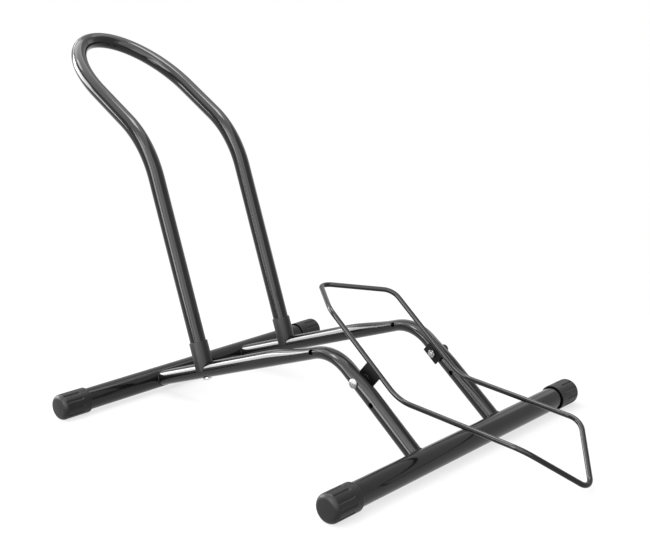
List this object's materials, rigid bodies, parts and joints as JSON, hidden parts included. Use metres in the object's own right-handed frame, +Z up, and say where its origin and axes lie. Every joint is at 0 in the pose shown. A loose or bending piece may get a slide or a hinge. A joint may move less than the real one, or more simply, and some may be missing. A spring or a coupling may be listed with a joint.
{
  "type": "floor bike stand",
  "caption": "Floor stand for one bicycle wheel: two base tubes, bent side tubes, a leaning hoop and a rocking wire cradle that catches the tyre.",
  "frame": {"origin": "on the floor, under the middle of the whole stand's box", "axes": "+X to the right across the stand; +Y from the wheel entry and cradle towards the hoop; +Z up"},
  "size_m": [0.546, 0.9327, 0.5349],
  "materials": {
    "paint": "gloss",
    "plastic": "matte",
    "zinc": "zinc plated"
  },
  "bodies": {
    "frame": {"rear_base_tube": "paint", "front_base_tube": "paint", "side_tube_left": "paint", "side_tube_right": "paint", "support_hoop": "paint", "end_cap_rear_left": "plastic", "end_cap_rear_right": "plastic", "end_cap_front_left": "plastic", "end_cap_front_right": "plastic", "hoop_sleeve_left": "plastic", "hoop_sleeve_right": "plastic", "leg_insert_left": "zinc", "leg_insert_right": "zinc", "hoop_bolt_left": "zinc", "hoop_bolt_right": "zinc", "pivot_bolt_left": "zinc", "pivot_bolt_right": "zinc", "pivot_washer_left": "zinc", "pivot_washer_right": "zinc", "pivot_nut_left": "zinc", "pivot_nut_right": "zinc"},
    "cradle": {"wheel_cradle": "paint", "pivot_bracket_left": "paint", "pivot_bracket_right": "paint"}
  },
  "joints": [
    {"name": "cradle_pivot", "type": "hinge", "parent": "frame", "child": "cradle", "pos_m": [0, -0.17635, 0.10179], "axis": [-1, 0, 0], "range_deg": [-1.6, 69.6]}
  ]
}
